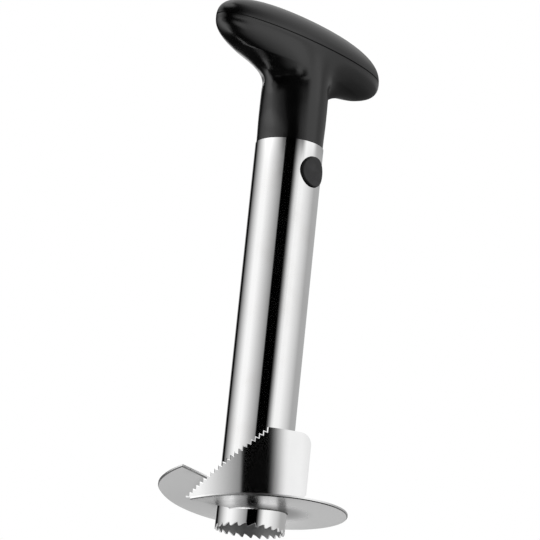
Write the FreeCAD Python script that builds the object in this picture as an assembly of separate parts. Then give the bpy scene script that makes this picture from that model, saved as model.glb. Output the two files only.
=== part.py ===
import FreeCAD, Part
import math
import os

# Pineapple slicer, in millimetres, +Z up.
# The origin is on the tube's axis, in the plane of the tube's tooth tips.
# The T handle lies along X and the release button faces -Y.

# Cutting tube
tube_radius = 16.5
tube_wall = 0.8
tube_length = 188.5
tooth_count = 24
tooth_depth = 1.7
tooth_land = 0.7
tooth_lean = 0.84
tooth_swell = 0.12
tooth_steps = 4

# Slicing disc: one turn of sheet, given by the heights of its underside
disc_radius = 45.0
sheet_thickness = 1.2
disc_start = -178.7
outer_sweep = 350.7
inner_sweep = 311.7
outer_heights = [
    (0, 6.2), (21, 8.1), (41, 9.3), (71, 10.8), (111, 11.5), (151, 10.8), (196, 10.1), (241, 11.3),
    (271, 13.7), (297, 16.5), (325, 18.8), (339, 20.5), (outer_sweep, 22.1),
]
inner_heights = [
    (0, 8.2), (41, 8.5), (101, 9.9), (161, 10.8), (221, 12.1), (261, 15.1), (inner_sweep, 21.3),
]
curve_steps = 64
disc_gap = 0.03
edge_grind_run = 2.4
edge_grind_left = 0.25
edge_overrun = 0.1
rim_bevel = 0.4
rim_overrun = 0.004

# Upright blade that cuts the outside of the ring
blade_thickness = 1.2
blade_top = 41.6
blade_reach = 3.7
blade_sweep = 75.7
saw_sweep = 47.5
saw_teeth = 21
saw_dip = 0.55
saw_tip_rise = 0.9
saw_bevel = 0.6
saw_skew = 0.8
blade_corner = 5.6
blade_relief = 0.7

# Welds
tube_weld_leg = 0.4
tube_weld_reach = 0.6
blade_weld_leg = 0.8
blade_weld_start = 3.0
weld_gap = 0.02

# Handle, with heights above the tube's top rim
stem_radius = 16.15
wing_half_length = 59.65
bar_half_width = 15.4
stem_height = 18.9
underside_reach = 45.0
underside_height = 37.5
underside_slope = 15.4
fillet_pull = 15.5
underside_pull = 2.2
tip_pull = 4.7
tip_drop = 6.5
widest_height = 48.0
top_height = 64.1
wing_foot = 31.3
wing_fullness = 1.42
crown_length_power = 2.7
crown_width_power = 2.36
wing_power = 2.09
stem_blend = 2.22
stem_foot = 0.21
stem_core = 0.6
stem_share = 0.25
bar_share = 0.995
thinnest = 0.5
crown_angles = [12, 24, 36, 47, 57, 66, 74, 80, 84.5]
section_points = 48

# Handle shells
handle_wall = 3.0
seam_height = 49.5
seam_gap = 0.6
seam_depth = 0.6
lap_depth = 2.0
lap_share = 1.75
lap_clearance = 0.1
floor_thickness = 4.0
post_places = [-43.0, -25.0, 25.0, 43.0]
post_radius = 3.4
post_root = 1.2
peg_radius = 1.65
peg_length = 6.0
peg_clearance = 0.05
rib_thickness = 1.8
rib_start = 12.0
rib_drop = 4.0

# Plug that carries the button inside the tube
plug_clearance = 0.1
plug_wall = 2.0
plug_length = 32.0
plug_top = 3.0
spigot_radius = 4.0
spigot_clearance = 0.05
end_cap_thickness = 1.6
end_cap_rim = 1.2
end_cap_depth = 4.0
screw_offset_x = 7.0
screw_offset_y = 6.0
screw_radius = 1.3
screw_length = 9.0
screw_head_radius = 2.7
screw_head_height = 2.0
screw_clearance = 0.35
pilot_clearance = 0.05
pilot_spare = 1.0
screw_boss_wall = 1.7
cross_slot_width = 0.8
cross_slot_depth = 1.0

# Release button, its spring and its pin
button_radius = 7.35
button_drop = 14.15
button_proud = 1.5
button_length = 9.5
button_rounding = 0.7
button_travel = 2.5
hole_clearance = 0.25
guide_clearance = 0.1
guide_wall = 1.9
guide_back = 0.5
guide_floor = 1.6
spring_radius = 2.75
spring_wire = 0.35
spring_turns = 7
spring_clearance = 0.3
button_front = 3.4
pin_radius = 1.0
pin_half_length = 10.0
pin_place = 10.6
pin_cover = 1.35
pin_clearance = 0.12
pin_press = 0.02

origin = FreeCAD.Vector(0, 0, 0)
up = FreeCAD.Vector(0, 0, 1)
along_x = FreeCAD.Vector(1, 0, 0)
along_y = FreeCAD.Vector(0, 1, 0)
far = 200.0
tube_inside = tube_radius - tube_wall
button_height = tube_length - button_drop


def cylinder(radius, start, direction, length):
    return Part.makeCylinder(radius, length, start, direction)


def block(low, high):
    size = high - low
    return Part.makeBox(size.x, size.y, size.z, low)


def slab(low, high):
    return block(FreeCAD.Vector(-far, -far, low), FreeCAD.Vector(far, far, high))


def vector(x, y, z):
    return FreeCAD.Vector(x, y, z)


def polar(radius, degrees, z):
    angle = math.radians(degrees)
    return FreeCAD.Vector(radius * math.cos(angle), radius * math.sin(angle), z)


def radial_wedge(outline, middle, stations):
    # outline holds the corners of a prism that widens with the radius: (degrees from the middle, height)
    # stations are (radius, drop, shift of the far side), from the axis outwards
    wires = []
    for radius, drop, shift in stations:
        corners = []
        for degrees, height in outline:
            side = radius * math.tan(math.radians(degrees)) + (shift if degrees > 0 else 0)
            corners.append(vector(radius, side, height - drop))
        corners.append(corners[0])
        wires.append(Part.makePolygon(corners))
    wedge = Part.makeLoft(wires, True, True)
    wedge.rotate(origin, up, middle)
    return wedge


# Cutting tube: saw teeth at its foot and a hole for the button near its top
def make_tube():
    tube = cylinder(tube_radius, origin, up, tube_length)
    tube = tube.cut(cylinder(tube_inside, origin, up, tube_length))
    pitch = 360.0 / tooth_count
    land = math.degrees(tooth_land / tube_radius)
    half = (pitch - land) / 2
    root = -half + 2 * half * tooth_lean
    below = -tooth_depth
    outline = [(half, 0), (half, below), (-half, below)]
    for step in range(tooth_steps + 1):
        share = step / tooth_steps
        swell = tooth_swell * math.sin(math.pi * share)
        outline.append((-half + (root + half) * share, tooth_depth * (share + swell)))
    stations = [(tube_inside - tube_wall, 0, 0), (tube_radius + tube_wall, 0, 0)]
    notches = [radial_wedge(outline, index * pitch, stations) for index in range(tooth_count)]
    tube = tube.cut(notches)
    hole_radius = button_radius + hole_clearance
    hole = cylinder(hole_radius, vector(0, 0, button_height), -along_y, tube_radius * 2)
    return tube.cut(hole)


# Slicing disc: straight rulings join an inner and an outer curve
def height_at(keys, degrees):
    slopes = []
    for index in range(len(keys)):
        before = keys[max(index - 1, 0)]
        after = keys[min(index + 1, len(keys) - 1)]
        slopes.append((after[1] - before[1]) / (after[0] - before[0]))
    span = 0
    while span < len(keys) - 2 and degrees > keys[span + 1][0]:
        span += 1
    start, end = keys[span], keys[span + 1]
    width = end[0] - start[0]
    u = (degrees - start[0]) / width
    value = (1 + 2 * u) * (1 - u) ** 2 * start[1]
    value += u * u * (3 - 2 * u) * end[1]
    value += width * u * (1 - u) ** 2 * slopes[span]
    value -= width * u * u * (1 - u) * slopes[span + 1]
    return value


def disc_inner(share):
    degrees = inner_sweep * share
    return polar(tube_radius + disc_gap, disc_start + degrees, height_at(inner_heights, degrees))


def disc_outer(share):
    degrees = outer_sweep * share
    return polar(disc_radius, disc_start + degrees, height_at(outer_heights, degrees))


def disc_point(share, radius):
    # the point of one ruling that lies at a radius
    start = disc_inner(share)
    run = disc_outer(share) - start
    a = run.x ** 2 + run.y ** 2
    b = start.x * run.x + start.y * run.y
    c = start.x ** 2 + start.y ** 2 - radius ** 2
    part = (-b + math.sqrt(b * b - a * c)) / a
    return start + run * part


def curve_through(points):
    curve = Part.BSplineCurve()
    curve.interpolate(points)
    return curve.toShape()


def disc_face(low_radius, high_radius):
    shares = [index / curve_steps for index in range(curve_steps + 1)]
    inner = curve_through([disc_point(share, low_radius) for share in shares])
    outer = curve_through([disc_point(share, high_radius) for share in shares])
    return Part.makeRuledSurface(inner, outer)


def make_disc():
    disc = disc_face(tube_radius + disc_gap, disc_radius).extrude(up * sheet_thickness)
    return disc.cut([leading_cutter(), trailing_cutter(), rim_cutter()])


def leading_cutter():
    # the leading edge is ground thin from above, as far as the inside of the blade
    start = disc_inner(0)
    run = disc_outer(0) - start
    last = 1 - blade_thickness / (disc_radius - tube_radius - disc_gap)
    back = up.cross(run).normalize() * edge_grind_run
    slope = back + up * (sheet_thickness - edge_grind_left)
    wires = []
    for part in (-edge_overrun, last):
        edge = start + run * part + up * edge_grind_left
        low = edge - slope
        wires.append(Part.makePolygon([low, edge + slope * 2, low + up * sheet_thickness * 3, low]))
    return Part.makeLoft(wires, True, True)


def trailing_cutter():
    # the underside of the trailing edge is ground back at 45 degrees
    start = disc_inner(1)
    run = disc_outer(1) - start
    beyond = up.cross(run).normalize()
    clear = rim_bevel / 2
    wires = []
    for part in (-edge_overrun, 1 + edge_overrun):
        corner = start + run * part + (beyond - up) * clear
        high = corner + up * (rim_bevel + 2 * clear)
        back = corner - beyond * (rim_bevel + 2 * clear)
        wires.append(Part.makePolygon([corner, high, back, corner]))
    return Part.makeLoft(wires, True, True)


def rim_cutter():
    # and so is the underside of the rim
    clear = rim_bevel / 2
    rows = [[], [], []]
    for index in range(curve_steps + 1):
        share = index / curve_steps * (1 + 2 * rim_overrun) - rim_overrun
        outside = disc_point(share, disc_radius + clear)
        rows[0].append(outside - up * clear)
        rows[1].append(outside + up * (rim_bevel + clear))
        rows[2].append(disc_point(share, disc_radius - rim_bevel - clear) - up * clear)
    return bead(rows)


# Upright blade: a stretch of cylinder on the disc's rim, with a rising row of saw teeth
def make_blade():
    start = disc_start - blade_reach
    inside = disc_radius - blade_thickness
    blade = Part.makeCylinder(disc_radius, blade_top, origin, up, blade_sweep)
    blade = blade.cut(cylinder(inside, origin, up, blade_top))
    corner = polar(disc_radius, blade_sweep, blade_top)
    edges = []
    for edge in blade.Edges:
        middle = edge.CenterOfMass
        if abs(middle.z - blade_top) < 0.01 and middle.distanceToPoint(corner) < blade_thickness:
            edges.append(edge)
    blade = blade.makeFillet(blade_corner, edges)
    blade.rotate(origin, up, start)

    foot = disc_outer(0).z + sheet_thickness
    step = saw_sweep / saw_teeth
    rise = (blade_top - foot - saw_tip_rise) / saw_teeth
    over = blade_top + blade_corner
    outside = disc_radius + blade_thickness
    bevel = saw_bevel + blade_thickness
    stations = [(inside - blade_thickness, 0, 0), (disc_radius - saw_bevel, 0, 0)]
    stations.append((outside, bevel, bevel * saw_skew))
    cutters = []
    for index in range(saw_teeth):
        tip = foot + saw_tip_rise + rise * index
        outline = [(-step / 2, tip), (step / 2, tip - saw_dip), (step / 2, over), (-step / 2, over)]
        cutters.append(radial_wedge(outline, start + step * (index + 0.5), stations))

    # the foot follows the top of the disc, and ahead of the disc it is level
    seat = disc_face(inside - blade_thickness, disc_radius + blade_thickness)
    seat.translate(up * sheet_thickness)
    cutters.append(seat.extrude(up * -2 * blade_top))
    ahead = Part.makeCylinder(disc_radius + blade_thickness, foot, origin, up, 2 * blade_reach)
    ahead.rotate(origin, up, disc_start - 2 * blade_reach)
    cutters.append(ahead)
    end_share = (blade_sweep - blade_reach) / outer_sweep
    relief = disc_outer(end_share) + up * (sheet_thickness + blade_relief / 2)
    outward = polar(1, start + blade_sweep, 0)
    cutters.append(cylinder(blade_relief, relief - outward * 2 * blade_thickness, outward, 4 * blade_thickness))
    return blade.cut(cutters)


# Weld beads: three-cornered in section, along the rulings of the disc
def bead(corner_rows):
    count = len(corner_rows[0])
    edges = [curve_through(row) for row in corner_rows]
    faces = [Part.makeRuledSurface(edges[k], edges[(k + 1) % 3]) for k in range(3)]
    for end in (0, count - 1):
        ring = [row[end] for row in corner_rows]
        ring.append(ring[0])
        faces.append(Part.Face(Part.makePolygon(ring)))
    shell = Part.makeShell(faces)
    shell.sewShape()
    solid = Part.makeSolid(shell)
    if solid.Volume < 0:
        solid.reverse()
    return solid


def make_tube_weld():
    rows = [[], [], []]
    for index in range(curve_steps + 1):
        share = index / curve_steps
        root = disc_point(share, tube_radius + disc_gap) - up * weld_gap
        toe = disc_point(share, tube_radius + tube_weld_reach) - up * weld_gap
        rows[0].append(root)
        rows[1].append(root - up * tube_weld_leg)
        rows[2].append(toe)
    return bead(rows)


def make_blade_weld():
    rows = [[], [], []]
    inside = disc_radius - blade_thickness - weld_gap
    last = blade_sweep - blade_reach - blade_weld_start
    steps = curve_steps // 2
    for index in range(steps + 1):
        degrees = blade_weld_start + (last - blade_weld_start) * index / steps
        share = degrees / outer_sweep
        lift = up * (sheet_thickness + weld_gap)
        root = disc_point(share, inside) + lift
        rows[0].append(root)
        rows[1].append(root + up * blade_weld_leg)
        rows[2].append(disc_point(share, inside - blade_weld_leg) + lift)
    return bead(rows)


# Handle form: level sections that run from the round stem to the long crowned bar
def bezier(points, t):
    a, b, c, d = points
    weights = ((1 - t) ** 3, 3 * (1 - t) ** 2 * t, 3 * (1 - t) * t * t, t ** 3)
    x = sum(w * p[0] for w, p in zip(weights, (a, b, c, d)))
    z = sum(w * p[1] for w, p in zip(weights, (a, b, c, d)))
    return x, z


def wing_profile():
    # half-length of the wings against height, from the stem to the crown
    slope = math.radians(underside_slope)
    core = stem_core * stem_radius
    foot = stem_foot * stem_radius
    middle = (underside_reach, underside_height)
    turn_in = (middle[0] - underside_pull * math.cos(slope), middle[1] - underside_pull * math.sin(slope))
    turn_out = (middle[0] + tip_pull * math.cos(slope), middle[1] + tip_pull * math.sin(slope))
    stem = ((foot, 0.0), (foot, stem_height / 2), (core, stem_height / 2), (core, stem_height))
    fillet = ((core, stem_height), (core, stem_height + fillet_pull), turn_in, middle)
    tip = (middle, turn_out, (wing_half_length, widest_height - tip_drop), (wing_half_length, widest_height))
    profile = [bezier(stem, t) for t in (0.0, 0.25, 0.5, 0.75)]
    profile += [bezier(fillet, index / 9) for index in range(9)]
    profile += [bezier(tip, index / 8) for index in range(9)]
    rise = top_height - widest_height
    for angle in crown_angles:
        share = math.sin(math.radians(angle))
        profile.append((wing_half_length * oval(share, crown_length_power), widest_height + rise * share))
    return profile


def crown_share(height):
    return min(max((height - widest_height) / (top_height - widest_height), 0.0), 1.0)


def oval(share, power):
    return (1 - share ** power) ** (1 / power)


def half_width(height):
    if height >= widest_height:
        return bar_half_width * oval(crown_share(height), crown_width_power)
    share = max((height - stem_height) / (widest_height - stem_height), 0.0)
    return stem_radius + (bar_half_width - stem_radius) * share * share * (3 - 2 * share)


def wing_share(height):
    # how much of the width belongs to the wings, and not to the round stem
    share = min(max((height - wing_foot) / (widest_height - wing_foot), 0.0), 1.0)
    return stem_share + (bar_share - stem_share) * oval(1 - share, wing_fullness)


def section(length, height, inset):
    # one level outline: the round stem and the pointed-oval wings blended into each other
    length = max(length, thinnest)
    total = max(half_width(height) - inset, thinnest)
    width = total * wing_share(height)
    stem = total * oval(wing_share(height), stem_blend)

    def reach(angle):
        c = abs(math.cos(angle)) / length
        s = abs(math.sin(angle)) / width
        wing = (c ** wing_power + s ** wing_power) ** (-1 / wing_power)
        return (stem ** stem_blend + wing ** stem_blend) ** (1 / stem_blend)

    long_reach = reach(0.0)
    short_reach = reach(math.pi / 2)
    points = []
    for index in range(section_points):
        turn = 2 * math.pi * index / section_points
        angle = math.atan2(short_reach * math.sin(turn), long_reach * math.cos(turn))
        radius = reach(angle)
        points.append(vector(radius * math.cos(angle), radius * math.sin(angle), tube_length + height))
    return points


def skin_through(rows, heights):
    # a surface that is closed round the axis and passes through every row of points
    turns = [float(index) for index in range(section_points + 1)]
    columns = []
    for row in rows:
        curve = Part.BSplineCurve()
        curve.interpolate(Points=row, PeriodicFlag=True, Parameters=turns)
        columns.append(curve.getPoles())
    poles = []
    for index in range(len(columns[0])):
        rising = Part.BSplineCurve()
        rising.interpolate(Points=[column[index] for column in columns], Parameters=heights)
        poles.append(rising.getPoles())
    skin = Part.BSplineSurface()
    skin.buildFromPolesMultsKnots(
        poles, curve.getMultiplicities(), rising.getMultiplicities(), curve.getKnots(), rising.getKnots(),
        True, False, 3, 3)
    return skin


def closed_solid(skin, last):
    # the skin in two halves, closed by a flat face at each end
    half = section_points / 2
    faces = []
    for start in (0.0, half):
        side = skin.copy()
        side.segment(start, start + half, 0.0, last)
        faces.append(side.toShape())
    for level in (0.0, last):
        ends = []
        for side, start in zip(faces, (0.0, half)):
            middle = Part.Vertex(skin.value(start + half / 2, level))
            ends.append(min(side.Edges, key=lambda edge: edge.distToShape(middle)[0]))
        faces.append(Part.Face(Part.Wire(ends)))
    shell = Part.makeShell(faces)
    shell.sewShape()
    solid = Part.makeSolid(shell)
    if solid.Volume < 0:
        solid.reverse()
    return solid


def handle_form(inset):
    # the whole handle's skin, moved inwards by the inset
    profile = wing_profile()
    rows = []
    heights = [0.0]
    for index, (length, height) in enumerate(profile):
        before = profile[max(index - 1, 0)]
        after = profile[min(index + 1, len(profile) - 1)]
        run, rise = after[0] - before[0], after[1] - before[1]
        size = math.hypot(run, rise)
        rows.append(section(length - inset * rise / size, height + inset * run / size, inset))
        if index:
            heights.append(heights[-1] + math.hypot(length - before[0], height - before[1]) ** 0.7)
    return closed_solid(skin_through(rows, heights), heights[-1])


def post(x, radius, low, high):
    return cylinder(radius, vector(x, 0, low), up, high - low)


def make_handle():
    seam = tube_length + seam_height
    top = tube_length + top_height + 10
    outer = handle_form(0.0)
    cavity = handle_form(handle_wall)
    root = handle_form(post_root)
    lap_hole = handle_form(lap_share - lap_clearance)
    lap_skin = handle_form(lap_share)
    groove = slab(seam - seam_gap / 2, seam + seam_gap / 2).cut(handle_form(seam_depth))

    body = outer.common(slab(tube_length - 1, seam))
    body = body.cut(cavity.common(slab(tube_length + floor_thickness, seam + 1)))
    supports = []
    for x in post_places:
        supports.append(post(x, post_radius, tube_length, seam))
    for side in (-1, 1):
        start = side * (stem_radius - handle_wall)
        low = vector(min(start, side * max(post_places)), -rib_thickness / 2, tube_length + rib_start)
        high = vector(max(start, side * max(post_places)), rib_thickness / 2, seam - rib_drop)
        supports.append(block(low, high))
    body = body.fuse([support.common(root) for support in supports]).removeSplitter()
    cuts = [lap_hole.common(slab(seam - lap_depth - lap_clearance, seam + 1)), groove]
    posts = [post(x, post_radius, seam - 2 * lap_depth, seam) for x in post_places]
    cuts[0] = cuts[0].cut(posts)
    for x in post_places:
        cuts.append(post(x, peg_radius + peg_clearance, seam - peg_length - 2 * lap_clearance, seam + 1))
    for side in (-1, 1):
        place = vector(side * screw_offset_x, screw_offset_y, tube_length - 1)
        cuts.append(cylinder(screw_radius + screw_clearance, place, up, floor_thickness + 2))
    cuts.append(cylinder(spigot_radius + spigot_clearance, vector(0, 0, tube_length - 1), up, floor_thickness + 2))
    body = body.cut(cuts)

    cap = outer.common(slab(seam, top)).cut(cavity)
    tongue = lap_skin.cut(cavity).common(slab(seam - lap_depth, seam + 0.5))
    pieces = [tongue]
    for x in post_places:
        pieces.append(post(x, post_radius, seam, top).common(root))
        pieces.append(post(x, peg_radius, seam - peg_length, seam + 1))
    cap = cap.fuse(pieces).removeSplitter().cut(groove)
    return body, cap


# Plug: a sleeve that slides in the tube, screwed up against the handle's floor
def make_plug():
    plug_radius = tube_inside - plug_clearance
    foot = tube_length - plug_length
    plug = cylinder(plug_radius, vector(0, 0, foot), up, plug_length)
    cup_radius = plug_radius - plug_wall
    plug = plug.cut(cylinder(cup_radius, vector(0, 0, foot), up, plug_length - plug_top))
    bore = button_radius + guide_clearance
    guide_end = guide_back + guide_floor
    guide = cylinder(bore + guide_wall, vector(0, guide_end, button_height), -along_y, plug_radius + guide_end)
    guide = guide.common(cylinder(plug_radius, vector(0, 0, foot), up, plug_length))
    additions = [guide, cylinder(spigot_radius, vector(0, 0, tube_length - 1), up, floor_thickness + 1)]
    screw_depth = screw_length - floor_thickness + pilot_spare
    for side in (-1, 1):
        place = vector(side * screw_offset_x, screw_offset_y, tube_length - screw_depth - pilot_spare)
        boss = cylinder(screw_radius + screw_boss_wall, place, up, screw_depth + pilot_spare)
        additions.append(boss)
    plug = plug.fuse(additions).removeSplitter()
    cuts = [cylinder(bore, vector(0, guide_back, button_height), -along_y, tube_radius * 2)]
    for side in (-1, 1):
        place = vector(side * screw_offset_x, screw_offset_y, tube_length - screw_depth)
        cuts.append(cylinder(screw_radius + pilot_clearance, place, up, screw_depth))
    pin_start = vector(-pin_half_length, -pin_place, pin_height())
    cuts.append(cylinder(pin_radius + pin_press, pin_start, along_x, far))
    return plug.cut(cuts)


def make_end_cap():
    plug_radius = tube_inside - plug_clearance
    foot = tube_length - plug_length
    cup_radius = plug_radius - plug_wall - pin_press
    cap = cylinder(plug_radius, vector(0, 0, foot - end_cap_thickness), up, end_cap_thickness)
    rim = cylinder(cup_radius, vector(0, 0, foot), up, end_cap_depth)
    rim = rim.cut(cylinder(cup_radius - end_cap_rim, vector(0, 0, foot), up, end_cap_depth))
    return cap.fuse(rim).removeSplitter()


def make_screws():
    screws = []
    for side in (-1, 1):
        seat = vector(side * screw_offset_x, screw_offset_y, tube_length + floor_thickness)
        shank = cylinder(screw_radius, seat - up * screw_length, up, screw_length)
        head = cylinder(screw_head_radius, seat, up, screw_head_height)
        rounding = [edge for edge in head.Edges if edge.CenterOfMass.z > seat.z + screw_head_height / 2]
        head = head.makeFillet(screw_head_height / 3, [edge for edge in rounding if edge.Closed])
        screw = shank.fuse(head).removeSplitter()
        slot_low = seat.z + screw_head_height - cross_slot_depth
        long_half = screw_head_radius * 0.6
        for half_x, half_y in ((long_half, cross_slot_width / 2), (cross_slot_width / 2, long_half)):
            low = vector(seat.x - half_x, seat.y - half_y, slot_low)
            high = vector(seat.x + half_x, seat.y + half_y, slot_low + 2 * cross_slot_depth)
            screw = screw.cut(block(low, high))
        screws.append(screw)
    return Part.makeCompound(screws)


# Release button: a domed plunger with a spring pocket and a groove for its pin
def pin_height():
    return button_height - (button_radius - pin_cover - pin_radius / 2)


def make_button():
    face = tube_radius + button_proud
    button = cylinder(button_radius, vector(0, button_length - face, button_height), -along_y, button_length + 1)
    button = button.common(cylinder(face, vector(0, 0, button_height - far / 2), up, far))
    rim = [edge for edge in button.Edges if edge.CenterOfMass.y < -(face - button_length / 2)]
    rim = [edge for edge in rim if edge.BoundBox.XLength > button_radius / 2]
    button = button.makeFillet(button_rounding, rim)
    pocket_radius = spring_radius + spring_wire + spring_clearance
    button = button.cut(cylinder(pocket_radius, vector(0, 0, button_height), -along_y, face - button_front))
    top = pin_height() + pin_radius + pin_clearance
    low = vector(-2 * button_radius, -(pin_place + pin_radius + pin_clearance + button_travel), button_height - far)
    high = vector(2 * button_radius, -(pin_place - pin_radius - pin_clearance), top)
    return button.cut(block(low, high))


def make_pin():
    return cylinder(pin_radius, vector(-pin_half_length, -pin_place, pin_height()), along_x, 2 * pin_half_length)


def make_spring():
    front = -(tube_radius + button_proud - button_front)
    length = guide_back - front - 2 * spring_wire - 0.02
    helix = Part.makeHelix(length / spring_turns, length, spring_radius)
    start = helix.Edges[0].valueAt(helix.Edges[0].FirstParameter)
    tangent = helix.Edges[0].tangentAt(helix.Edges[0].FirstParameter)
    ring = Part.Wire([Part.makeCircle(spring_wire, start, tangent)])
    spring = Part.Wire(helix.Edges).makePipeShell([ring], True, True)
    spring.rotate(origin, along_x, -90)
    spring.translate(vector(0, front + spring_wire + 0.01, button_height))
    return spring


def main():
    os.makedirs("parts", exist_ok=True)
    handle_body, handle_cap = make_handle()
    nodes = {
        "core_tube": make_tube(),
        "slicing_disc": make_disc(),
        "ring_blade": make_blade(),
        "tube_weld": make_tube_weld(),
        "blade_weld": make_blade_weld(),
        "handle_body": handle_body,
        "handle_cap": handle_cap,
        "handle_plug": make_plug(),
        "plug_end_cap": make_end_cap(),
        "plug_screws": make_screws(),
        "release_button": make_button(),
        "button_spring": make_spring(),
        "button_pin": make_pin(),
    }
    for name, shape in nodes.items():
        shape.exportStep("parts/" + name + ".step")
        box = shape.BoundBox
        print(name, len(shape.Solids), "solids", shape.isValid(), "%.0f mm3" % shape.Volume, box)


main()
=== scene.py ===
import math

import bmesh
import bpy
from mathutils import Matrix, Vector


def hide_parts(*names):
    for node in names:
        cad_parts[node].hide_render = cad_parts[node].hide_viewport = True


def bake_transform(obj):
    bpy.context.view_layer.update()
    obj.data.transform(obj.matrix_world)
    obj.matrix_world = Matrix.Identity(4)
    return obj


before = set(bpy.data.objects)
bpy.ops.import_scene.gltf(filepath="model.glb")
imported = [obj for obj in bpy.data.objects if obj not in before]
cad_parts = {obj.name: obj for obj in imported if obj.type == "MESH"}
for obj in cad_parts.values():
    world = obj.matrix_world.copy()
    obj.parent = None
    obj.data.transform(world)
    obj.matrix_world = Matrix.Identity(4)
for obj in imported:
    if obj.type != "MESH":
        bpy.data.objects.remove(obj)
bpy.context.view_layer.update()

print("slicer frame loaded:", ", ".join(sorted(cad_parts)))
bpy.ops.object.select_all(action="DESELECT")


# Shader wires: arithmetic on a wire adds Math nodes to the tree that it belongs to
class Wire:
    def __init__(self, bench, socket):
        self.bench = bench
        self.socket = socket

    def __add__(self, other):
        return self.bench.math("ADD", self, other)

    def __radd__(self, other):
        return self.bench.math("ADD", other, self)

    def __sub__(self, other):
        return self.bench.math("SUBTRACT", self, other)

    def __rsub__(self, other):
        return self.bench.math("SUBTRACT", other, self)

    def __mul__(self, other):
        return self.bench.math("MULTIPLY", self, other)

    def __rmul__(self, other):
        return self.bench.math("MULTIPLY", other, self)

    def __pow__(self, other):
        return self.bench.math("POWER", self, other)

    def __rpow__(self, other):
        return self.bench.math("POWER", other, self)


class Bench:
    def __init__(self, tree):
        self.tree = tree
        tree.nodes.clear()

    def plug(self, socket, value):
        if isinstance(value, Wire):
            self.tree.links.new(value.socket, socket)
        else:
            socket.default_value = value

    def add(self, kind, settings=None, inputs=None, out=0):
        # settings are set first, then sockets get their values or wires
        node = self.tree.nodes.new(kind)
        for name, value in (settings or {}).items():
            setattr(node, name, value)
        for name, value in (inputs or {}).items():
            self.plug(node.inputs[name], value)
        if len(node.outputs) > 0:
            return Wire(self, node.outputs[out])

    def math(self, operation, first, second=0.0):
        return self.add("ShaderNodeMath", {"operation": operation}, {0: first, 1: second})

    def between(self, value, low, high, start=0.0, end=1.0, interpolation="SMOOTHSTEP"):
        # start at low, end at high, eased between them
        settings = {"interpolation_type": interpolation, "clamp": True}
        sockets = {"Value": value, "From Min": low, "From Max": high, "To Min": start, "To Max": end}
        return self.add("ShaderNodeMapRange", settings, sockets)

    def ramp(self, value, low, high, start=0.0, end=1.0):
        # the same with a straight slope
        return self.between(value, low, high, start, end, "LINEAR")

    def tint(self, factor, first, second):
        # the Mix node's colour sockets come after those for numbers and vectors
        sockets = {0: factor, 6: first, 7: second}
        return self.add("ShaderNodeMix", {"data_type": "RGBA"}, sockets, out=2)

    def place(self):
        return self.add("ShaderNodeTexCoord", out="Object")

    def stretched(self, point, scale):
        # a small scale draws a noise out along that axis
        return self.add("ShaderNodeMapping", None, {"Vector": point, "Scale": scale})

    def noise(self, point, scale, detail=3.0, rough=0.5):
        sockets = {"Vector": point, "Scale": scale, "Detail": detail, "Roughness": rough}
        return self.add("ShaderNodeTexNoise", {"noise_dimensions": "3D"}, sockets)

    def bump(self, height, distance, strength, under=None):
        sockets = {"Height": height, "Distance": distance, "Strength": strength}
        if under is not None:
            sockets["Normal"] = under
        return self.add("ShaderNodeBump", None, sockets)

    def parts(self, point):
        # its x, y and z as three wires
        split = self.add("ShaderNodeSeparateXYZ", None, {0: point})
        return [Wire(self, output) for output in split.socket.node.outputs]

    def radius(self, x, y):
        return (x * x + y * y) ** 0.5

    def angle(self, x, y):
        # in degrees, round the tube's axis
        return self.math("ARCTAN2", y, x) * math.degrees(1)

    def facing(self):
        return self.add("ShaderNodeNewGeometry", out="Normal")


noiseMiddle = 0.5        # the level that a noise swings about


def newMaterial(name):
    material = bpy.data.materials.new(name)
    material.use_nodes = True
    return material, Bench(material.node_tree)


def finishMaterial(bench, sockets):
    shader = bench.add("ShaderNodeBsdfPrincipled", None, sockets)
    bench.add("ShaderNodeOutputMaterial", None, {"Surface": shader})


def grey(level, warm=0.0):
    return (level * (1 + warm), level, level * (1 - warm), 1)


# Bright polished tube, dull inside
tubeLook = {
    "steel": 0.90, "smudged": 0.86, "warmth": 0.006, "roughness": 0.045, "hazeRoughness": 0.03,
    "hazeSize": 45.0, "hazeDetail": 4.0, "hazeGrit": 0.6, "hazeFrom": 0.48, "hazeTo": 0.72,
    "drawnLines": 2600.0, "drawnDetail": 2.0, "drawnLength": 0.02, "drawnDepth": 0.0000012,
    "drawnStrength": 0.2, "drawnRoughness": 0.02,
    "insideRadius": 0.0161, "inside": 0.55, "insideRoughness": 0.50,
    # the pale, less metallic colour of the downward tooth faces is a painted highlight
    "tooth": 0.96, "toothMetal": 0.25, "toothFacing": -0.2,
}


def makeTubeSteel():
    look = tubeLook
    material, bench = newMaterial("tubeSteel")
    place = bench.place()
    x, y = bench.parts(place)[:2]
    haze = bench.noise(place, look["hazeSize"], look["hazeDetail"], look["hazeGrit"])
    haze = bench.between(haze, look["hazeFrom"], look["hazeTo"])
    drawn = bench.stretched(place, (1, 1, look["drawnLength"]))
    lines = bench.noise(drawn, look["drawnLines"], look["drawnDetail"])
    colour = bench.tint(haze, grey(look["steel"]), grey(look["smudged"], look["warmth"]))
    inside = bench.math("LESS_THAN", bench.radius(x, y), look["insideRadius"])
    colour = bench.tint(inside, colour, grey(look["inside"]))
    # the faces of the teeth that look down get a pale, less metallic colour: a painted highlight along
    # the teeth's edges
    flankHighlight = bench.math("LESS_THAN", bench.parts(bench.facing())[2], look["toothFacing"])
    roughness = look["roughness"] + haze * look["hazeRoughness"]
    roughness = roughness + (lines - noiseMiddle) * look["drawnRoughness"]
    finishMaterial(bench, {
        "Base Color": bench.tint(flankHighlight, colour, grey(look["tooth"])),
        "Metallic": 1 - flankHighlight * (1 - look["toothMetal"]),
        "Roughness": roughness + inside * look["insideRoughness"],
        "Normal": bench.bump(lines, look["drawnDepth"], look["drawnStrength"]),
    })
    return material


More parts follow.
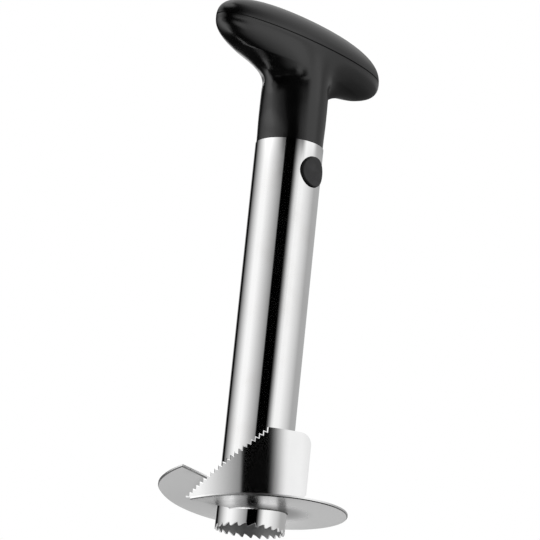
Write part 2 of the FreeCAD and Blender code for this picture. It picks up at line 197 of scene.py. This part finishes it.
# Satin slicing disc, rolled sheet with a fine grain
discLook = {
    "steel": 0.79, "worn": 0.76, "wornSize": 28.0, "wornDetail": 2.0, "roughness": 0.24,
    "grainSize": 700.0, "grainLength": 0.05, "grainRoughness": 0.03,
    "grainDepth": 0.000003, "grainStrength": 0.15,
    "scuffSize": 90.0, "scuffDetail": 4.0, "scuffGrit": 0.6, "scuffFrom": 0.5, "scuffTo": 0.75,
    "scuffed": 0.84, "scuffShare": 0.3, "scuffRoughness": 0.03,
    # the cut edges' pale colour is a painted highlight, and the bevel's dark colour a painted shadow line
    "cutFacing": 0.5, "cutEdgeHighlight": 0.95, "cutRoughness": 0.3, "bevelFacing": 0.85, "bevel": 0.12,
    "dullFrom": 0.018, "dullTo": 0.030, "dull": 0.38, "dullRoughness": 0.16,
    # the dark patch on one side near the tube is a painted reflection of the tube
    "paintedReflection": 0.37, "paintedReflectionTurn": -166.0, "paintedReflectionNear": 0.97, "paintedReflectionFar": 0.82,
    "paintedReflectionFull": 0.030, "paintedReflectionEnd": 0.043,
}


def makeDiscSteel():
    look = discLook
    material, bench = newMaterial("discSteel")
    place = bench.place()
    grain = bench.noise(bench.stretched(place, (1, look["grainLength"], 1)), look["grainSize"])
    scuffs = bench.noise(place, look["scuffSize"], look["scuffDetail"], look["scuffGrit"])
    scuffs = bench.between(scuffs, look["scuffFrom"], look["scuffTo"])
    worn = bench.noise(place, look["wornSize"], look["wornDetail"])
    colour = bench.tint(worn, grey(look["steel"]), grey(look["worn"]))
    colour = bench.tint(scuffs * look["scuffShare"], colour, grey(look["scuffed"]))
    # the cut edges get a pale colour, a painted highlight, and the narrow bevel beside them a dark one, a
    # painted shadow line
    steep = bench.math("ABSOLUTE", bench.parts(bench.facing())[2])
    cut = bench.math("LESS_THAN", steep, look["cutFacing"])
    bevel = bench.math("LESS_THAN", steep, look["bevelFacing"]) * (1 - cut)
    colour = bench.tint(bevel, colour, grey(look["bevel"]))
    # darker near the tube, and a painted reflection of the tube, darker still, on one side of it
    x, y = bench.parts(place)[:2]
    radius = bench.radius(x, y)
    dulled = bench.between(radius, look["dullFrom"], look["dullTo"], 1.0, 0.0)
    colour = bench.tint(dulled, colour, grey(look["dull"]))
    paintedReflection = bench.math("COSINE", (bench.angle(x, y) - look["paintedReflectionTurn"]) * math.radians(1))
    paintedReflection = bench.between(paintedReflection, look["paintedReflectionFar"], look["paintedReflectionNear"])
    paintedReflection = paintedReflection * bench.between(radius, look["paintedReflectionFull"], look["paintedReflectionEnd"], 1.0, 0.0)
    colour = bench.tint(paintedReflection, colour, grey(look["paintedReflection"]))
    roughness = look["roughness"] + (grain - noiseMiddle) * look["grainRoughness"]
    roughness = roughness + scuffs * look["scuffRoughness"] + dulled * look["dullRoughness"]
    finishMaterial(bench, {
        "Base Color": bench.tint(cut, colour, grey(look["cutEdgeHighlight"])),
        "Metallic": 1.0,
        "Roughness": roughness + cut * (look["cutRoughness"] - look["roughness"]),
        "Normal": bench.bump(grain, look["grainDepth"], look["grainStrength"]),
    })
    return material


# Polished upright blade
bladeLook = {
    "steel": 0.92, "worn": 0.84, "wornSize": 60.0, "wornRoughness": 0.02, "roughness": 0.09,
    "lines": 1500.0, "lineLength": 0.05, "lineRoughness": 0.03,
    "lineDepth": 0.000002, "lineStrength": 0.2,
    "sprung": 2.2, "twist": 85.0, "twistHeight": 0.028,
}


def makeBladeSteel():
    look = bladeLook
    material, bench = newMaterial("bladeSteel")
    place = bench.place()
    lines = bench.noise(bench.stretched(place, (1, 1, look["lineLength"])), look["lines"])
    worn = bench.noise(place, look["wornSize"])
    # the sheet has sprung a little from its circle and is twisted a little, so its face is turned
    height = bench.parts(place)[2]
    turn = (height - look["twistHeight"]) * math.radians(look["twist"]) + math.radians(look["sprung"])
    turned = bench.add("ShaderNodeVectorRotate", {"rotation_type": "Z_AXIS"},
                       {"Vector": bench.facing(), "Angle": turn})
    roughness = look["roughness"] + (lines - noiseMiddle) * look["lineRoughness"]
    roughness = roughness + worn * look["wornRoughness"]
    finishMaterial(bench, {
        "Base Color": bench.tint(worn, grey(look["steel"]), grey(look["worn"])),
        "Metallic": 1.0,
        "Roughness": roughness,
        "Normal": bench.bump(lines, look["lineDepth"], look["lineStrength"], turned),
    })
    return material


# Weld bead: small ripples along the joint
weldLook = {
    "steel": 0.90, "tinted": (0.82, 0.81, 0.79, 1), "roughness": 0.25,
    "rippleDegrees": 2.2, "rippleShare": 0.5, "depth": 0.00003, "strength": 0.4,
    "blotchSize": 700.0, "blotchFrom": 0.45, "blotchTo": 0.7, "blotchRoughness": 0.2,
}


def makeWeldSteel():
    look = weldLook
    material, bench = newMaterial("weldSteel")
    place = bench.place()
    x, y = bench.parts(place)[:2]
    ripple = bench.math("SINE", bench.angle(x, y) * (2 * math.pi / look["rippleDegrees"]))
    blotch = bench.noise(place, look["blotchSize"])
    tinted = bench.between(blotch, look["blotchFrom"], look["blotchTo"])
    finishMaterial(bench, {
        "Base Color": bench.tint(tinted, grey(look["steel"]), look["tinted"]),
        "Metallic": 1.0,
        "Roughness": look["roughness"] + (blotch - noiseMiddle) * look["blotchRoughness"],
        "Normal": bench.bump(ripple * look["rippleShare"] + blotch, look["depth"], look["strength"]),
    })
    return material


# Black handle: satin moulded plastic
handleLook = {
    "black": (0.0010, 0.0010, 0.0011, 1), "roughness": 0.20, "index": 1.6,
    "rubbed": (0.0028, 0.0028, 0.0029, 1), "rubSize": 38.0, "rubFrom": 0.45, "rubTo": 0.75,
    "rubRoughness": 0.05,
    "pebbleSize": 5200.0, "pebbleDetail": 2.0, "pebbleGrit": 0.6,
    "pebbleDepth": 0.000008, "pebbleStrength": 0.35, "pebbleRoughness": 0.06,
}


def makeHandlePlastic():
    look = handleLook
    material, bench = newMaterial("handlePlastic")
    place = bench.place()
    pebble = bench.noise(place, look["pebbleSize"], look["pebbleDetail"], look["pebbleGrit"])
    rub = bench.between(bench.noise(place, look["rubSize"]), look["rubFrom"], look["rubTo"])
    roughness = look["roughness"] + rub * look["rubRoughness"]
    finishMaterial(bench, {
        "Base Color": bench.tint(rub, look["black"], look["rubbed"]),
        "Roughness": roughness + (pebble - noiseMiddle) * look["pebbleRoughness"],
        "Normal": bench.bump(pebble, look["pebbleDepth"], look["pebbleStrength"]),
        "IOR": look["index"],
    })
    return material


# Release button: softer, greyer plastic
buttonLook = {
    "grey": (0.014, 0.014, 0.015, 1), "roughness": 0.5,
    "thumbed": (0.022, 0.022, 0.023, 1), "thumbedSize": 240.0, "thumbedFrom": 0.4, "thumbedTo": 0.7,
    # the side wall's near-black colour is painted shade
    "sideShade": (0.0004, 0.0004, 0.0004, 1), "sideFrom": -0.75, "sideTo": -0.35, "sideRoughness": 0.45,
    "pebbleSize": 3800.0, "pebbleDetail": 2.0, "pebbleGrit": 0.6,
    "pebbleDepth": 0.00002, "pebbleStrength": 0.5, "pebbleRoughness": 0.12,
}


def makeButtonPlastic():
    look = buttonLook
    material, bench = newMaterial("buttonPlastic")
    place = bench.place()
    pebble = bench.noise(place, look["pebbleSize"], look["pebbleDetail"], look["pebbleGrit"])
    thumbed = bench.noise(place, look["thumbedSize"])
    thumbed = bench.between(thumbed, look["thumbedFrom"], look["thumbedTo"])
    # the side that slides in the tube's hole is painted near-black as shade; the pressed face looks along
    # -Y
    side = bench.between(bench.parts(bench.facing())[1], look["sideFrom"], look["sideTo"])
    colour = bench.tint(thumbed, look["grey"], look["thumbed"])
    roughness = look["roughness"] + (pebble - noiseMiddle) * look["pebbleRoughness"]
    finishMaterial(bench, {
        "Base Color": bench.tint(side, colour, look["sideShade"]),
        "Roughness": roughness + side * look["sideRoughness"],
        "Normal": bench.bump(pebble, look["pebbleDepth"], look["pebbleStrength"]),
    })
    return material


# Screws, pin and spring: plain bright steel with a fine grain
smallSteelLook = {
    "steel": 0.62, "dull": 0.5, "roughness": 0.22,
    "grain": 1800.0, "grainRoughness": 0.16, "grainDepth": 0.000006, "grainStrength": 0.4,
}


def makeSmallSteel():
    look = smallSteelLook
    material, bench = newMaterial("smallSteel")
    place = bench.place()
    grain = bench.noise(place, look["grain"])
    finishMaterial(bench, {
        "Base Color": bench.tint(grain, grey(look["steel"]), grey(look["dull"])),
        "Metallic": 1.0,
        "Roughness": look["roughness"] + (grain - noiseMiddle) * look["grainRoughness"],
        "Normal": bench.bump(grain, look["grainDepth"], look["grainStrength"]),
    })
    return material


# Plug inside the tube: plain black moulding
plugLook = {
    "black": (0.008, 0.008, 0.009, 1), "scraped": (0.03, 0.03, 0.03, 1), "roughness": 0.42,
    "scrapes": 900.0, "scrapeLength": 0.06, "scrapeFrom": 0.58, "scrapeTo": 0.75,
    "scrapeRoughness": 0.15, "scrapeDepth": 0.000015, "scrapeStrength": 0.4,
}


def makePlugPlastic():
    look = plugLook
    material, bench = newMaterial("plugPlastic")
    place = bench.place()
    scrapes = bench.noise(bench.stretched(place, (1, 1, look["scrapeLength"])), look["scrapes"])
    scraped = bench.between(scrapes, look["scrapeFrom"], look["scrapeTo"])
    finishMaterial(bench, {
        "Base Color": bench.tint(scraped, look["black"], look["scraped"]),
        "Roughness": look["roughness"] + scraped * look["scrapeRoughness"],
        "Normal": bench.bump(scrapes, look["scrapeDepth"], look["scrapeStrength"]),
    })
    return material


def dress(material, *nodes):
    for node in nodes:
        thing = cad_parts[node]
        for slot in thing.material_slots:
            slot.material = material
        if not thing.material_slots:
            thing.data.materials.append(material)


dress(makeTubeSteel(), "core_tube")
dress(makeDiscSteel(), "slicing_disc")
dress(makeBladeSteel(), "ring_blade")
dress(makeWeldSteel(), "tube_weld", "blade_weld")
dress(makeHandlePlastic(), "handle_body", "handle_cap")
dress(makeButtonPlastic(), "release_button")
dress(makePlugPlastic(), "handle_plug", "plug_end_cap")
smallSteel = makeSmallSteel()
dress(smallSteel, "plug_screws", "button_pin", "button_spring")
print("materials on", len(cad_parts), "nodes")

# The button's spring: a smooth-shaded copy of the CAD spring with its doubled points merged, and the CAD
# spring hidden
springShape = {"merge": 0.000002, "name": "shortening_spring"}


def addSpring():
    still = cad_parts["button_spring"]
    mesh = still.data.copy()
    mesh.transform(still.matrix_world)
    shape = bmesh.new()
    shape.from_mesh(mesh)
    bmesh.ops.remove_doubles(shape, verts=shape.verts, dist=springShape["merge"])
    for face in shape.faces:
        face.smooth = True
    shape.to_mesh(mesh)
    shape.free()
    mesh.materials.clear()
    mesh.materials.append(smallSteel)
    spring = bpy.data.objects.new(springShape["name"], mesh)
    bpy.context.scene.collection.objects.link(spring)
    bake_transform(spring)
    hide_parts("button_spring")


addSpring()
print("spring in place")

# Camera: a long lens, below the slicer's foot and looking up at it
cameraPlace = {
    "turn": -49.0, "rise": -14.267, "roll": 5.947, "distance": 1.6,
    "lens": 223.54, "sensor": 36.0, "nearest": 0.05, "farthest": 50.0,
    "aimHeight": 0.125, "aimRight": -0.003134, "aimUp": 0.001848,
}


def directionAt(turn, rise):
    # the direction at a turn round the slicer from its button's side, and a rise above level
    turn = math.radians(turn)
    rise = math.radians(rise)
    return Vector((math.sin(turn) * math.cos(rise), -math.cos(turn) * math.cos(rise), math.sin(rise)))


def setCamera():
    place = cameraPlace
    roll = math.radians(place["roll"])
    back = directionAt(place["turn"], place["rise"])
    right = (-back).cross(Vector((0, 0, 1))).normalized()
    top = back.cross(right)
    aim = Vector((0, 0, place["aimHeight"])) + right * place["aimRight"] + top * place["aimUp"]
    sideways = right * math.cos(roll) + top * math.sin(roll)
    upwards = top * math.cos(roll) - right * math.sin(roll)
    camera = bpy.data.cameras.new("camera")
    camera.lens = place["lens"]
    camera.sensor_width = place["sensor"]
    camera.clip_start = place["nearest"]
    camera.clip_end = place["farthest"]
    thing = bpy.data.objects.new("camera", camera)
    bpy.context.scene.collection.objects.link(thing)
    thing.matrix_world = Matrix.Translation(aim + back * place["distance"]) @ Matrix((
        (sideways.x, upwards.x, back.x, 0),
        (sideways.y, upwards.y, back.y, 0),
        (sideways.z, upwards.z, back.z, 0),
        (0, 0, 0, 1)))
    bpy.context.scene.camera = thing


setCamera()
print("camera set")

# Studio: white all round, with a dark slot that polished steel shows as its black stripe
# Angles are round the slicer from the camera's side, positive to the right, and rises are above level
# Plain lights all but reflections, and low brightens the reflections of what is below level
studio = {"plain": 0.72, "low": 0.03, "lowFrom": 0.0, "lowFull": -8.0}

# What upright steel faces: the belt of the studio between two rises, and its mirror image in the disc
belt = {
    "low": 6.0, "lowFull": 8.5, "high": 16.1, "highFull": 16.8,
    "apronLow": -30.0, "apronLowFull": -24.0, "apronHigh": -6.0, "apronHighFull": -9.0,
    "apronSide": 50.0, "apronSideEnd": 62.0,
    "leftFrom": -140.0, "leftFull": -86.0, "leftFade": -68.0, "leftEnd": -8.0,
    "leftLevel": 1.04, "leftLow": 0.16,
    "slotLeft": -14.0, "slotRight": 17.0, "slotSoft": 2.0,
    "rightFull": 43.0, "rightFade": 58.0, "rightMiddle": 115.0, "rightLevel": 1.0, "rightRest": 0.43,
    "behindFrom": -151.0, "behindFull": -180.0, "behindLevel": 0.80,
}


def beltShade(bench, angle):
    look = belt
    left = bench.ramp(angle, look["leftFrom"], look["leftFull"], 0.0, look["leftLevel"])
    left = left * bench.ramp(angle, look["leftFade"], look["leftEnd"], 1.0, look["leftLow"])
    slotFrom = look["slotLeft"] - look["slotSoft"]
    slotTo = look["slotLeft"] + look["slotSoft"]
    left = left * bench.between(angle, slotFrom, slotTo, 1.0, 0.0)
    right = bench.between(angle, look["slotRight"], look["rightFull"], 0.0, look["rightLevel"])
    right = right * bench.ramp(angle, look["rightFade"], look["rightMiddle"], 1.0, look["rightRest"])
    behind = bench.between(angle, look["behindFrom"], look["behindFull"], 0.0, look["behindLevel"])
    return left + right + behind


def beltReach(bench, angle, rise):
    # 1 where a direction meets the belt or its image, 0 where it meets the panels
    look = belt
    level = bench.between(rise, look["low"], look["lowFull"])
    level = level * bench.between(rise, look["high"], look["highFull"], 1.0, 0.0)
    apron = bench.between(rise, look["apronLow"], look["apronLowFull"])
    apron = apron * bench.between(rise, look["apronHigh"], look["apronHighFull"])
    turn = bench.math("ABSOLUTE", angle)
    return level + apron * bench.between(turn, look["apronSide"], look["apronSideEnd"], 1.0, 0.0)


# What the handle and the slanting faces see: tall soft panels on each side, a sky and a crown above
panels = {
    "leftFrom": -150.0, "leftFull": -70.0, "leftFade": -68.0, "leftEnd": -21.0, "left": 1.5,
    "rightFrom": 41.0, "rightFull": 62.0, "rightFade": 86.0, "rightMiddle": 110.0, "rightEnd": 176.0,
    "right": 1.03, "middleLevel": 0.37, "endLevel": 0.30, "footFrom": -60.0, "footTo": -8.0,
    "backFrom": -14.0, "backTo": 12.0, "backLevel": 0.42,
    "footShift": 38.0, "footShiftFrom": -24.0, "footShiftTo": -50.0,
    "crownLow": 48.0, "crownHigh": 66.0, "crownSide": 20.0, "crownSideEnd": 45.0, "crown": 1.3,
    "glowFrom": -158.0, "glowFull": -172.0, "glowLow": -16.0, "glowHigh": -6.0, "glow": 1.2,
    "skyLow": 20.0, "skyHigh": 36.0, "skyTop": 60.0,
    "skyLevel": 0.5, "skyTopLevel": 0.88, "skyTurn": 100.0,
}


def panelShade(bench, angle, rise):
    look = panels
    left = bench.between(angle, look["leftFrom"], look["leftFull"], 0.0, look["left"])
    shift = bench.between(rise, look["footShiftFrom"], look["footShiftTo"], 0.0, look["footShift"])
    left = left * bench.ramp(angle - shift, look["leftFade"], look["leftEnd"], 1.0, 0.0)
    # a narrow glow behind the left panel draws the handle's outline
    glow = bench.between(angle, look["glowFrom"], look["glowFull"])
    left = left + glow * bench.between(rise, look["glowLow"], look["glowHigh"]) * look["glow"]

    right = bench.between(angle, look["rightFrom"], look["rightFull"], 0.0, look["right"])
    right = right * bench.between(angle, look["rightFade"], look["rightMiddle"], 1.0, look["middleLevel"])
    right = right * bench.between(angle, look["rightMiddle"], look["rightEnd"], 1.0, look["endLevel"])
    right = right * bench.ramp(rise, look["footFrom"], look["footTo"])
    back = bench.between(angle, look["rightFade"], look["rightMiddle"])
    dim = bench.ramp(rise, look["backFrom"], look["backTo"], 1 - look["backLevel"], 0.0)
    right = right * (1 - back * dim)

    sky = bench.ramp(rise, look["skyLow"], look["skyTop"], look["skyLevel"], look["skyTopLevel"])
    sky = sky * bench.between(bench.math("ABSOLUTE", angle), look["rightFrom"], look["skyTurn"])
    above = bench.between(rise, look["skyLow"], look["skyHigh"])
    crown = bench.between(rise, look["crownLow"], look["crownHigh"])
    crown = crown * bench.between(angle, look["crownSide"], look["crownSideEnd"], look["crown"], 0.0)
    return bench.math("MAXIMUM", (left + right) * (1 - above) + sky * above, crown)


def setWorld():
    world = bpy.data.worlds.new("studio")
    bpy.context.scene.world = world
    world.use_nodes = True
    bench = Bench(world.node_tree)
    towards = bench.add("ShaderNodeTexCoord", out="Generated")
    # turned so that the camera's side is +X and its right is +Y
    turned = bench.add("ShaderNodeVectorRotate", {"rotation_type": "Z_AXIS"},
                       {"Vector": towards, "Angle": math.radians(90 - cameraPlace["turn"])})
    x, y, z = bench.parts(turned)
    angle = bench.angle(x, y)
    rise = bench.math("ARCSINE", z) * math.degrees(1)
    look = studio
    wide = panelShade(bench, angle, rise)
    wide = wide + bench.between(rise, look["lowFrom"], look["lowFull"], 0.0, look["low"])
    reach = beltReach(bench, angle, rise)
    seen = beltShade(bench, angle) * reach + wide * (1 - reach)

    # steel and plastic reflect the panels, the camera sees white, and the rest of the light is plain
    path = bench.add("ShaderNodeLightPath")
    ray = path.socket.node.outputs
    camera = Wire(bench, ray["Is Camera Ray"])
    glossy = Wire(bench, ray["Is Glossy Ray"])
    level = glossy * seen + (1 - glossy) * look["plain"]
    level = camera + (1 - camera) * level
    shade = bench.add("ShaderNodeBackground", None, {"Color": (1, 1, 1, 1), "Strength": level})
    bench.add("ShaderNodeOutputWorld", None, {"Surface": shade})


# Soft square lamps, aimed at the middle of the slicer
lampAimHeight = 0.12
lamps = {
    "keyLamp": {"turn": -95, "rise": 38, "distance": 1.6, "size": 1.0, "power": 9},
    "fillLamp": {"turn": 20, "rise": 30, "distance": 1.8, "size": 1.2, "power": 7},
    "topLamp": {"turn": -40, "rise": 80, "distance": 1.6, "size": 1.0, "power": 5},
}


def newLamp(name, shape, size, power):
    lamp = bpy.data.lights.new(name, "AREA")
    lamp.shape = shape
    lamp.size = size
    lamp.energy = power
    thing = bpy.data.objects.new(name, lamp)
    bpy.context.scene.collection.objects.link(thing)
    return thing


def addLamp(name):
    place = lamps[name]
    back = directionAt(place["turn"], place["rise"])
    thing = newLamp(name, "SQUARE", place["size"], place["power"])
    thing.location = Vector((0, 0, lampAimHeight)) + back * place["distance"]
    thing.rotation_euler = (-back).to_track_quat("-Z", "Y").to_euler()
    thing.visible_glossy = False


# Low lamp under the disc's far side. It lights the disc alone, whose satin underside reflects it
underLamp = {"behind": 0.050, "height": 0.0005, "width": 0.18, "depth": 0.13, "power": 0.038}


def addUnderLamp():
    place = underLamp
    thing = newLamp("underLamp", "RECTANGLE", place["width"], place["power"])
    thing.data.size_y = place["depth"]
    far = -directionAt(cameraPlace["turn"], 0)
    thing.location = far * place["behind"] + Vector((0, 0, place["height"]))
    thing.rotation_euler = (math.pi, 0, math.radians(cameraPlace["turn"]))
    thing.visible_camera = False
    lit = bpy.data.collections.new("underLit")
    lit.objects.link(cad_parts["slicing_disc"])
    thing.light_linking.receiver_collection = lit


def clearReflections():
    # the tube's end and the handle reflect the studio clean of the blades
    for node in ("slicing_disc", "ring_blade", "blade_weld"):
        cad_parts[node].visible_glossy = False


# Pale floor under the slicer
floorLook = {
    "size": 6.0, "drop": 0.0001,
    "pale": 0.86, "speckled": 0.98, "speckSize": 30.0, "speckDetail": 2.0,
}


def addFloor():
    look = floorLook
    bpy.ops.mesh.primitive_plane_add(size=look["size"], location=(0, 0, -look["drop"]))
    floor = bpy.context.object
    floor.name = "floor"
    material, bench = newMaterial("floorPale")
    speck = bench.noise(bench.place(), look["speckSize"], look["speckDetail"])
    colour = bench.tint(speck, grey(look["pale"]), grey(look["pale"] * look["speckled"]))
    matt = bench.add("ShaderNodeBsdfDiffuse", None, {"Color": colour})
    clear = bench.add("ShaderNodeBsdfTransparent")
    under = bench.add("ShaderNodeNewGeometry", out="Backfacing")
    surface = bench.add("ShaderNodeMixShader", None, {0: under, 1: matt, 2: clear})
    bench.add("ShaderNodeOutputMaterial", None, {"Surface": surface})
    floor.data.materials.append(material)
    # seen from below it is clear, and the steel reflects the white studio rather than the floor
    floor.visible_glossy = False
    floor.visible_diffuse = False


setWorld()
for lampName in lamps:
    addLamp(lampName)
addUnderLamp()
clearReflections()
addFloor()
print("studio lit")

bpy.context.scene.view_settings.view_transform = "Standard"
